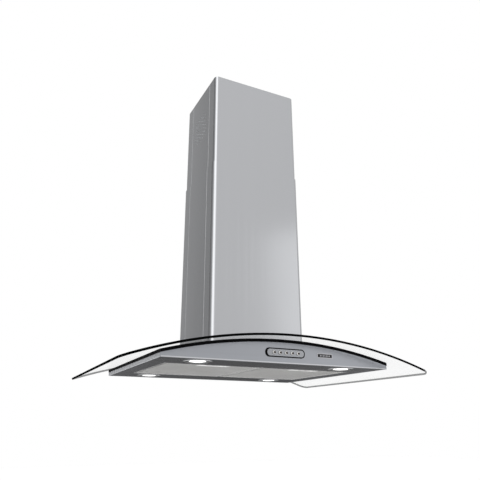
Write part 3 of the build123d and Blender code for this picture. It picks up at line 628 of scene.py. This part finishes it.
@dataclass
class LampSet:
    """Four round lamps: chrome bezels, glowing ridged lenses and their cans."""

    corners: tuple[str, ...] = ("front_left", "front_right", "back_left", "back_right")
    lens_corners: int = 64
    ridges: int = 5
    ridge_width: float = 0.0036
    ridge_depth: float = 0.00035
    chrome: PolishedMetal = PolishedMetal("bezel_chrome_plate", (0.80, 0.81, 0.82), 0.08)
    lit: LampGlass = LampGlass("lamp_lens_lit", 1.6)
    frosted: GrainedBody = GrainedBody("lamp_lens_frosted", (0.30, 0.30, 0.31), 0.4, 800.0, 0.0001)
    can: GrainedBody = GrainedBody("lamp_can_alloy", (0.42, 0.43, 0.44), 0.5, 700.0, 0.0002, metallic=1.0)

    def build(self) -> None:
        """Models one lens, copies it to each lamp, and dresses the bezels and cans."""
        glass = self.lit.build()
        low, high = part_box("lamp_lenses")
        first = self._lens(high.z - low.z)
        Bench.coat(first, glass, self.frosted.build())
        for face in first.data.polygons:
            face.material_index = 0 if self._in_middle(first, face) else 1
        dress(self.chrome.build(), *("lamp_bezel_" + corner for corner in self.corners))
        dress(self.can.build(), "lamp_cans")
        dress(glass, "lamp_lenses")
        for corner in self.corners:
            lens = first.copy()
            lens.data = first.data.copy()
            lens.name = lens.data.name = "lamp_lens_" + corner
            bpy.context.scene.collection.objects.link(lens)
            start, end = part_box("lamp_bezel_" + corner)
            Bench.turned(lens, (0, 0, 0), ((start.x + end.x) / 2, (start.y + end.y) / 2, low.z))
            finished_piece(lens, "hood", "lamp_lens", "lamp_lenses")
        bpy.data.objects.remove(first)

    def _in_middle(self, lens: bpy.types.Object, face: bpy.types.MeshPolygon) -> bool:
        """Whether all of a face lies inside the lens's outermost ring."""
        reach = max(lens.data.vertices[index].co.to_2d().length for index in face.vertices)
        return reach < self._radius() - self.ridge_width / 2

    @staticmethod
    def _radius() -> float:
        """The radius of one lens."""
        bezel_low, bezel_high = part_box("lamp_bezel_front_left")
        return (bezel_low.x + bezel_high.x) / 2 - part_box("lamp_lenses")[0].x

    def _lens(self, thickness: float) -> bpy.types.Object:
        """One lens lying on z = 0, its lower face turned into rings.

        Args:
            thickness: the lens's height.

        Returns:
            The modelled lens.
        """
        lens = Bench.disc("lamp_lens_start", self._radius(), self.lens_corners)
        Bench.edit(lens)
        bpy.ops.mesh.select_all(action="SELECT")
        bpy.ops.mesh.extrude_region_move(TRANSFORM_OT_translate={"value": (0, 0, thickness)})
        bpy.ops.mesh.select_all(action="SELECT")
        bpy.ops.mesh.normals_make_consistent(inside=False)
        Bench.faces(lens, lambda face: face.normal.z < -0.9)
        for index in range(self.ridges):
            depth = -self.ridge_depth if index % 2 == 0 else self.ridge_depth
            bpy.ops.mesh.inset(thickness=self.ridge_width, depth=depth)
        Bench.done()
        Bench.smooth(lens, 25.0)
        return lens


@dataclass
class GreaseFilters:
    """Two cassettes: alloy frames, expanded mesh, pulls and latches."""

    cell: tuple[float, float] = (0.0090, 0.0046)
    strand: float = 0.00062
    sheet: float = 0.0005
    drop: float = 0.0011
    margin: float = 0.0002
    row_weld: float = 0.00005
    final_weld: float = 0.00002
    frame_alloy: BrushedSteel = BrushedSteel("filter_frame_alloy", (0.96, 0.96, 0.955), 0.26, Grain.ALONG_X,
                                             0.04)
    pack: AluminiumMesh = AluminiumMesh("filter_pack_mesh", (0.38, 0.378, 0.372), 0.25, 0.55)
    outer: AluminiumMesh = AluminiumMesh("filter_outer_mesh", (0.53, 0.527, 0.52), 0.35, 0.45)
    pull: GrainedBody = GrainedBody("filter_pull_silver", (0.93, 0.93, 0.92), 0.4, 900.0, 0.00005,
                                    metallic=0.15)
    latch: PolishedMetal = PolishedMetal("filter_latch_steel", (0.66, 0.66, 0.67), 0.28)

    def build(self) -> None:
        """Models the outer mesh sheet of each cassette and dresses the rest."""
        strand_finish = self.outer.build()
        for side in ("left", "right"):
            sheet = self._mesh_sheet(side)
            Bench.coat(sheet, strand_finish)
            finished_piece(sheet, "filter_" + side, "filter_mesh")
        dress(self.frame_alloy.build(), "filter_frame_left", "filter_frame_right")
        dress(self.pack.build(), "filter_mesh_left", "filter_mesh_right")
        dress(self.pull.build(), "filter_pull_left", "filter_pull_right")
        dress(self.latch.build(), "filter_latch_left", "filter_latch_right")

    def _mesh_sheet(self, side: str) -> bpy.types.Object:
        """The expanded sheet under one cassette's pack.

        Args:
            side: "left" or "right".

        Returns:
            The modelled sheet.
        """
        low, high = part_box("filter_mesh_" + side)
        pull_low, pull_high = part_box("filter_pull_" + side)
        wide, deep = self.cell
        name = "expanded_mesh_" + side
        cell = Bench.disc(name, 0.5, 4)
        cell.scale = (wide, deep, 1.0)
        Bench.settle(cell)
        Bench.edit(cell)
        bpy.ops.mesh.select_all(action="SELECT")
        bpy.ops.mesh.inset(thickness=self.strand)
        bpy.ops.mesh.delete(type="FACE")
        bpy.ops.mesh.select_all(action="SELECT")
        bpy.ops.mesh.duplicate_move(TRANSFORM_OT_translate={"value": (wide / 2, deep / 2, 0)})
        Bench.done()
        columns = math.ceil((high.x - low.x) / wide) + 1
        rows = math.ceil((high.y - low.y) / deep) + 1
        for axis, count, step in ((0, columns, wide), (1, rows, deep)):
            offset = [0.0, 0.0, 0.0]
            offset[axis] = step
            Bench.finished_with(cell, "ARRAY", count=count, use_relative_offset=False,
                                use_constant_offset=True, constant_offset_displace=offset,
                                use_merge_vertices=True, merge_threshold=self.row_weld)
        Bench.turned(cell, (0, 0, 0), (low.x, low.y, low.z - self.drop))
        edge = self.margin
        for place, normal in (((low.x + edge, 0, 0), (-1, 0, 0)), ((high.x - edge, 0, 0), (1, 0, 0)),
                              ((0, low.y + edge, 0), (0, -1, 0)), ((0, high.y - edge, 0), (0, 1, 0))):
            Bench.cut(cell, [place], normal, drop=True)
        Bench.edit(cell)
        Bench.faces(cell, lambda face: pull_low.x < face.calc_center_median().x < pull_high.x
                    and face.calc_center_median().y < pull_high.y)
        bpy.ops.mesh.delete(type="FACE")
        bpy.ops.mesh.select_all(action="SELECT")
        bpy.ops.mesh.remove_doubles(threshold=self.final_weld)
        bpy.ops.mesh.normals_make_consistent(inside=False)
        Bench.done()
        Bench.finished_with(cell, "SOLIDIFY", thickness=self.sheet, offset=0.0)
        return cell


@dataclass
class Controls:
    """The control plate, its black surround, five buttons with their dark dots, and the badge; each dot is
    partly a mark and partly painted shade.
    """

    surround: float = 0.0026
    side_step: float = 0.0030
    clearance: float = 0.0001
    end_flat: float = 0.0004
    hole_end_flat: float = 0.0006
    buttons: int = 5
    # Each button's dark dot is partly a mark and partly painted shade: it sits right of the cap's middle so
    # that the cap's right side reads dark.
    mark_and_shade_corners: int = 28
    mark_and_shade_radius: float = 0.0029
    mark_and_shade_shift: float = 0.0013
    mark_and_shade_height: float = 0.00012
    badge_border: float = 0.0015
    badge_sink: float = 0.0003
    badge_corner: float = 0.0025
    badge_edge: float = 0.0003
    badge_wall: float = 0.0002
    ribs: int = 7
    rib_span_share: float = 0.70
    rib_width_share: float = 0.42
    rib_height_share: float = 0.34
    rib_rise_share: float = 0.8
    rib_corner: float = 0.0004
    plate: BrushedSteel = BrushedSteel("control_plate_steel", (0.43, 0.44, 0.465), 0.26, Grain.ALONG_X, 0.05)
    cap: PolishedMetal = PolishedMetal("button_cap_steel", (0.74, 0.73, 0.72), 0.16)
    rim: GrainedBody = GrainedBody("control_rim_black", (0.002, 0.002, 0.0025), 0.5, 1200.0, 0.00005,
                                   specular=0.05)
    ink_and_shade: GrainedBody = GrainedBody("button_mark_ink", (0.030, 0.020, 0.014), 0.5, 1500.0, 0.00003,
                                   specular=0.1)
    badge_field: GrainedBody = GrainedBody("badge_field_dark", (0.010, 0.010, 0.012), 0.4, 900.0, 0.00004,
                                           specular=0.1)
    badge_line: GrainedBody = GrainedBody("badge_border_silver", (0.52, 0.52, 0.54), 0.4, 900.0, 0.00004,
                                          metallic=0.3)

    def build(self) -> None:
        """Models the surround, the buttons' dark dots (part mark, part painted shade) and the badge, and
        dresses the rest.
        """
        ink_and_shade, black = self.ink_and_shade.build(), self.rim.build()
        self._surround(black)
        for index in range(1, self.buttons + 1):
            mark_and_shade = self._mark_and_shade(index)
            Bench.coat(mark_and_shade, ink_and_shade)
            finished_piece(mark_and_shade, "button_%d" % index, "badge_dark")
        self._badge()
        dress(self.plate.build(), "control_plate")
        dress(self.cap.build(), *("push_button_%d" % index for index in range(1, self.buttons + 1)))
        dress(black, "control_rim", "switch_block")

    def _surround(self, black: bpy.types.Material) -> None:
        """Models the black frame round the control plate, deeper at its left end."""
        low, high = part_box("control_plate")
        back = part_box("control_rim")[1].y
        wide, tall = high.x - low.x, high.z - low.z
        place = Vector(((low.x + high.x) / 2, back, (low.z + high.z) / 2))
        outer = (wide + 2 * self.surround + self.side_step, tall + 2 * self.surround)
        black_frame = Bench.slab("control_surround", outer, outer[1] / 2 - self.end_flat, back - low.y)
        Bench.turned(black_frame, (math.pi / 2, 0, 0), place - Vector((self.side_step / 2, 0, 0)))
        hole = (wide + 2 * self.clearance, tall + 2 * self.clearance)
        cutter = Bench.slab("control_surround_hole", hole, hole[1] / 2 - self.hole_end_flat,
                            2 * (back - low.y))
        Bench.turned(cutter, (math.pi / 2, 0, 0), place + Vector((0, (back - low.y) / 2, 0)))
        Bench.finished_with(black_frame, "BOOLEAN", object=cutter, operation="DIFFERENCE", solver="EXACT")
        bpy.data.objects.remove(cutter)
        Bench.coat(black_frame, black)
        Bench.smooth(black_frame, 30.0)
        finished_piece(black_frame, "hood", "black_plastic", "control_rim")

    def _mark_and_shade(self, index: int) -> bpy.types.Object:
        """The dark dot on one button, counted from 1 at the left: partly a mark, partly painted shade, set
        right of the cap's middle to darken its right side.
        """
        low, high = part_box("push_button_%d" % index)
        mark_and_shade = Bench.disc("button_mark_%d" % index, self.mark_and_shade_radius, self.mark_and_shade_corners)
        Bench.finished_with(mark_and_shade, "SOLIDIFY", thickness=self.mark_and_shade_height, offset=1.0)
        Bench.turned(mark_and_shade, (math.pi / 2, 0, 0),
                     ((low.x + high.x) / 2 + self.mark_and_shade_shift, low.y, (low.z + high.z) / 2))
        return mark_and_shade

    def _badge(self) -> None:
        """Models the badge: a plain dark field with upright ribs inside a raised bright border."""
        low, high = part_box("badge_plate")
        middle = ((low.x + high.x) / 2, high.y, (low.z + high.z) / 2)
        size = (high.x - low.x, high.z - low.z)
        thickness = high.y - low.y
        badge = Bench.slab("blank_badge", size, self.badge_corner, thickness)
        Bench.edit(badge)
        Bench.faces(badge, lambda face: face.normal.z > 0.9)
        bpy.ops.mesh.inset(thickness=self.badge_edge, depth=0.0)
        bpy.ops.mesh.inset(thickness=self.badge_border, depth=0.0)
        bpy.ops.mesh.inset(thickness=self.badge_wall, depth=-self.badge_sink)
        Bench.done()
        silver = self.badge_line.build()
        Bench.coat(badge, silver, self.badge_field.build())
        for face in badge.data.polygons:
            inner = face.normal.z > 0.9 and face.center.z < thickness - self.badge_sink / 2
            face.material_index = 1 if inner else 0
        Bench.turned(badge, (math.pi / 2, 0, 0), middle)
        Bench.smooth(badge, 30.0)
        finished_piece(badge, "hood", "badge_dark", "badge_plate")
        pitch = size[0] * self.rib_span_share / self.ribs
        rib_size = (pitch * self.rib_width_share, size[1] * self.rib_height_share)
        rib = Bench.slab("badge_ribs", rib_size, self.rib_corner, self.badge_sink * self.rib_rise_share)
        Bench.finished_with(rib, "ARRAY", count=self.ribs, use_relative_offset=False,
                            use_constant_offset=True, constant_offset_displace=(pitch, 0.0, 0.0))
        Bench.coat(rib, silver)
        Bench.turned(rib, (0, 0, 0), (-pitch * (self.ribs - 1) / 2, 0, thickness - self.badge_sink))
        Bench.turned(rib, (math.pi / 2, 0, 0), middle)
        finished_piece(rib, "hood", "badge_dark")


@dataclass
class Casing:
    """The low steel canopy under the glass, with the rolled lips of its front and back edges."""

    lip: float = 0.0030
    lip_end: float = 0.0015
    proud: float = 0.0024
    lip_corner_share: float = 0.1
    roll_share: float = 0.92
    edge_reach: float = 0.001
    edge_height_share: float = 0.1
    roll_steps: int = 7
    ends: BrushedSteel = BrushedSteel("case_end_steel", (0.445, 0.46, 0.495), 0.30, Grain.ALONG_X, 0.02)
    # A lighter copy of the panels' steel for the rolled lips: painted highlight along the bottom edges.
    lip_painted_highlight: BrushedSteel = BrushedSteel("rolled_lip_painted_highlight", (0.72, 0.73, 0.76), 0.35, Grain.ALONG_X, 0.02)
    sides: BrushedSteel = BrushedSteel("case_side_steel", (0.86, 0.87, 0.90), 0.50, Grain.ALONG_Y, 0.05)
    pan: BrushedSteel = BrushedSteel("pan_steel_brushed", (0.44, 0.445, 0.47), 0.25, Grain.ALONG_X, 0.04,
                                     edge_tint=0.75)
    zinc: GalvanisedSteel = GalvanisedSteel("inner_zinc_sheet")

    def build(self) -> None:
        """Models the lips and dresses the casing's nodes."""
        finish = self.ends.build()
        # The lips' lighter steel: painted highlight along the bottom edges.
        bright = self.lip_painted_highlight.build()
        for side, node in ((-1, "front_panel"), (1, "back_panel")):
            lip = self._lip(node, side)
            Bench.coat(lip, bright)
            finished_piece(lip, "hood", "case_steel")
        dress(finish, "front_panel", "back_panel")
        dress(self.sides.build(), "left_side_panel", "right_side_panel", "top_plate")
        dress(self.pan.build(), "underside_pan")
        dress(self.zinc.build(), "filter_seat", "glass_clamp_tray", "tray_pillars")

    def _lip(self, node: str, side: int) -> bpy.types.Object:
        """The rolled lip along one panel's bottom edge.

        Args:
            node: the panel.
            side: -1 at the front, 1 at the back.

        Returns:
            The modelled lip.
        """
        low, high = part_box(node)
        length = high.x - low.x - 2 * self.lip_end
        outer = low.y if side < 0 else high.y
        lip = Bench.slab("rolled_lip_" + node, (length, self.lip), self.lip * self.lip_corner_share,
                         self.lip)
        Bench.edit(lip, "EDGE")
        form = bmesh.from_edit_mesh(lip.data)
        for line in form.edges:
            centre = (line.verts[0].co + line.verts[1].co) / 2
            low_down = centre.z < self.lip * self.edge_height_share
            line.select_set(abs(centre.x) < self.edge_reach and low_down and centre.y * side > 0)
        bmesh.update_edit_mesh(lip.data)
        bpy.ops.mesh.bevel(offset=self.lip * self.roll_share, segments=self.roll_steps, affect="EDGES")
        Bench.done()
        Bench.turned(lip, (0, 0, 0),
                     ((low.x + high.x) / 2, outer + side * (self.proud - self.lip / 2), low.z))
        Bench.smooth(lip, 40.0)
        return lip


@dataclass
class Chimney:
    """The two telescoping sheet sections round the duct, with a pale sheet behind each vent panel: painted
    light for the lit inside of the chimney.
    """

    sheet: BrushedSteel = BrushedSteel("cover_steel_brushed", (0.575, 0.583, 0.603), 0.17, Grain.ALONG_Z,
                                       0.012)
    # A pale sheet behind each vent panel, its colour painted light that stands in for light inside the
    # chimney.
    painted_light_backing: GrainedBody = GrainedBody("vent_painted_light_pale", (0.74, 0.75, 0.76), 0.7, 1400.0, 0.0002, specular=0.2)
    parts: tuple[str, ...] = ("front", "back", "left_strip", "right_strip")
    painted_light_backing_size: tuple[float, float] = (0.110, 0.120)
    painted_light_backing_top: float = 0.076
    painted_light_backing_gap: float = 0.0013
    painted_light_backing_corner: float = 0.004
    painted_light_backing_sheet: float = 0.0003

    def build(self) -> None:
        """Models the pale painted-light sheets behind the vents and dresses the covers."""
        pale = self.painted_light_backing.build()
        for side, name in ((-1, "left"), (1, "right")):
            low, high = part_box("upper_cover_%s_strip" % name)
            outer = low.x if side < 0 else high.x
            panel = Bench.slab("vent_painted_light_" + name, self.painted_light_backing_size, self.painted_light_backing_corner, self.painted_light_backing_sheet)
            Bench.coat(panel, pale)
            middle = high.z - self.painted_light_backing_top - self.painted_light_backing_size[1] / 2
            Bench.turned(panel, (math.pi / 2, 0, math.pi / 2), (outer - side * self.painted_light_backing_gap, 0.0, middle))
            finished_piece(panel, "ceiling_fixed", "cover_steel")
        finish = self.sheet.build()
        dress(finish, *("upper_cover_" + part for part in self.parts))
        dress(finish, *("lower_cover_" + part for part in self.parts))


@dataclass
class InnerWorks:
    """What the covers hide: ceiling plate, uprights, blower, collar and electrics."""

    zinc: GalvanisedSteel = GalvanisedSteel("bracket_zinc_sheet", (0.55, 0.57, 0.60), 0.34, 180.0)
    wheel: GalvanisedSteel = GalvanisedSteel("impeller_zinc_sheet", (0.46, 0.48, 0.50), 0.42, 90.0)
    bright: PolishedMetal = PolishedMetal("screw_zinc_bright", (0.70, 0.70, 0.66), 0.24)
    motor: GrainedBody = GrainedBody("motor_shell_coat", (0.16, 0.165, 0.175), 0.42, 600.0, 0.0002,
                                     metallic=0.6)
    flap: GrainedBody = GrainedBody("flap_grey_plastic", (0.30, 0.31, 0.32), 0.5, 800.0, 0.0001)
    black: GrainedBody = GrainedBody("electrics_black_plastic", (0.02, 0.02, 0.022), 0.5, 900.0, 0.0001)

    def build(self) -> None:
        """Dresses the hidden nodes."""
        dress(self.zinc.build(), "ceiling_plate", "upper_uprights", "lower_uprights", "blower_box",
              "fan_scroll", "motor_spider", "outlet_collar")
        dress(self.wheel.build(), "fan_impeller")
        dress(self.bright.build(), "cover_screws", "height_lock_screws", "tray_bolts")
        dress(self.motor.build(), "fan_motor")
        dress(self.flap.build(), "damper_flap_front", "damper_flap_back")
        dress(self.black.build(), "control_box", "lamp_driver", "run_capacitor", "cable_gland")
        LOG.info("inner works dressed")


# ------------------------------------------------------------------ studio


@dataclass(frozen=True)
class Softbox:
    """One rectangular studio light."""

    name: str
    place: Colour
    aim: Colour
    size: tuple[float, float]
    power: float

    def build(self) -> None:
        """Places the light and turns it towards its aim."""
        lamp = bpy.data.lights.new(self.name, "AREA")
        lamp.shape = "RECTANGLE"
        lamp.size, lamp.size_y = self.size
        lamp.energy = self.power
        holder = bpy.data.objects.new(self.name, lamp)
        holder.location = self.place
        towards = Vector(self.aim) - Vector(self.place)
        holder.rotation_euler = towards.to_track_quat("-Z", "Y").to_euler()
        holder.visible_camera = False
        bpy.context.scene.collection.objects.link(holder)


@dataclass
class Studio:
    """Camera, pale floor, the softbox and the room's glow."""

    camera_place: Colour = (-0.7008, -1.4492, -1.1109)
    heading: float = 25.89
    pitch: float = 20.0
    lens: float = 38.118
    floor_level: float = -2.60
    floor_size: float = 40.0
    softboxes: tuple[Softbox, ...] = (
        Softbox("right_softbox", (2.25, -2.40, 0.0), (0.1, -0.1, -0.8), (1.6, 1.3), 2.2),
    )

    def build(self) -> None:
        """Makes the camera, the floor, the softbox and the room."""
        self._camera()
        self._floor()
        for box in self.softboxes:
            box.build()
        self._room()

    def _camera(self) -> None:
        """Makes the camera and points it up at the hood."""
        lens = bpy.data.cameras.new("camera")
        lens.lens = self.lens
        lens.sensor_width = 36.0
        holder = bpy.data.objects.new("camera", lens)
        holder.location = self.camera_place
        holder.rotation_euler = Euler((math.radians(90 + self.pitch), 0.0, math.radians(-self.heading)))
        bpy.context.scene.collection.objects.link(holder)
        bpy.context.scene.camera = holder
        bpy.context.scene.view_settings.view_transform = "Standard"

    def _floor(self) -> None:
        """Makes the plain pale floor."""
        floor = Bench.plate("studio_floor", self.floor_size, self.floor_size)
        Bench.turned(floor, (0, 0, 0), (0, 0, self.floor_level))
        sheet = NodeSheet("floor_pale")
        speck = sheet.noise(sheet.placed((4.0, 4.0, 4.0)), 1.0, 3.0)
        sheet.base(Base_Color=sheet.mixed(speck, (0.90, 0.90, 0.90), (0.93, 0.93, 0.93)), Roughness=0.7,
                   Emission_Color=(1.0, 1.0, 1.0, 1.0), Emission_Strength=0.15)
        Bench.coat(floor, sheet.material)
        floor.visible_glossy = False

    def _room(self) -> None:
        """Makes the room: white to look at, with a studio's darker and lighter walls in reflections."""
        world = bpy.data.worlds.new("room")
        bpy.context.scene.world = world
        world.use_nodes = True
        tree = world.node_tree
        tree.nodes.clear()

        def add(kind: str, **settings: object) -> bpy.types.Node:
            """Adds a node to the room's tree."""
            made = tree.nodes.new(kind)
            for key, value in settings.items():
                setattr(made, key, value)
            return made

        def math_of(operation: str, first: object, second: object = 0.0) -> Socket:
            """A math node's result in the room's tree."""
            made = add("ShaderNodeMath", operation=operation)
            for socket, value in zip(made.inputs, (first, second)):
                if isinstance(value, bpy.types.NodeSocket):
                    tree.links.new(value, socket)
                else:
                    socket.default_value = value
            return made.outputs[0]

        def ramp(value: Socket, stops: Sequence[tuple[float, float]]) -> Socket:
            """A smooth grey ramp over a value from 0 to 1."""
            made = add("ShaderNodeValToRGB")
            made.color_ramp.interpolation = "EASE"
            tree.links.new(value, made.inputs[0])
            points = made.color_ramp.elements
            while len(points) < len(stops):
                points.new(0.5)
            for point, (place, grey) in zip(points, stops):
                point.position = place
            for point, (place, grey) in zip(points, stops):
                point.color = (grey, grey, grey, 1.0)
            return made.outputs[0]

        direction = add("ShaderNodeTexCoord").outputs["Generated"]
        parts = add("ShaderNodeSeparateXYZ")
        tree.links.new(direction, parts.inputs[0])
        turn = math_of("ARCTAN2", parts.outputs[0], parts.outputs[1])
        around = math_of("MULTIPLY_ADD", turn, 0.5 / math.pi)
        around.node.inputs[2].default_value = 0.5
        walls = ramp(around, WALL_TONES)
        height = math_of("MULTIPLY_ADD", parts.outputs[2], 0.5)
        height.node.inputs[2].default_value = 0.5
        storey = ramp(height, HEIGHT_TONES)
        seen = math_of("MULTIPLY", walls, storey)
        below = math_of("LESS_THAN", parts.outputs[2], 0.0)
        band = math_of("MAXIMUM", ramp(height, BAND_TONES), ramp(around, LOW_WALL_TONES))
        mixed = add("ShaderNodeMix")
        tree.links.new(below, mixed.inputs[0])
        tree.links.new(seen, mixed.inputs[2])
        tree.links.new(band, mixed.inputs[3])
        path = add("ShaderNodeLightPath")
        plain = math_of("SUBTRACT", 1.0, path.outputs["Is Glossy Ray"])
        final = add("ShaderNodeMix")
        tree.links.new(plain, final.inputs[0])
        tree.links.new(mixed.outputs[0], final.inputs[2])
        final.inputs[3].default_value = 1.0
        background = add("ShaderNodeBackground")
        tree.links.new(final.outputs[0], background.inputs["Color"])
        output = add("ShaderNodeOutputWorld")
        tree.links.new(background.outputs[0], output.inputs["Surface"])


def compass(degrees: float) -> float:
    """A heading, clockwise from the back of the hood, as a place on the wall ramp."""
    return 0.5 + degrees / 360


def rise(degrees: float) -> float:
    """A height above the horizon as a place on the height ramps."""
    return 0.5 + math.sin(math.radians(degrees)) / 2


WALL_TONES = ((compass(-180), 0.80), (compass(-168), 1.10), (compass(-148), 1.80), (compass(-124), 1.60),
              (compass(-96), 0.50), (compass(-60), 0.26), (compass(-32), 0.17), (compass(-22), 0.30),
              (compass(-14), 0.62), (compass(18), 0.66), (compass(34), 0.12), (compass(56), 0.45),
              (compass(100), 0.74), (compass(180), 0.80))
HEIGHT_TONES = ((rise(0), 0.85), (rise(12), 0.95), (rise(40), 1.0), (rise(90), 1.0))
LOW_WALL_TONES = ((compass(-180), 0.62), (compass(-4), 0.62), (compass(12), 0.07), (compass(18), 0.0),
                  (compass(46), 0.0), (compass(64), 0.62), (compass(180), 0.62))
BAND_TONES = ((rise(-90), 0.95), (rise(-34), 0.90), (rise(-16), 0.20), (rise(-5), 0.07), (rise(0), 0.07))


def main() -> None:
    """Builds each sub-assembly in order and reports it."""
    logging.basicConfig(level=logging.INFO, format="%(name)s: %(message)s")
    for assembly in (Chimney(), Casing(), GlassCanopy(), LampSet(), GreaseFilters(), Controls(), InnerWorks(),
                     Studio()):
        assembly.build()
        LOG.info("%s built", type(assembly).__name__)


if __name__ == "__main__":
    main()
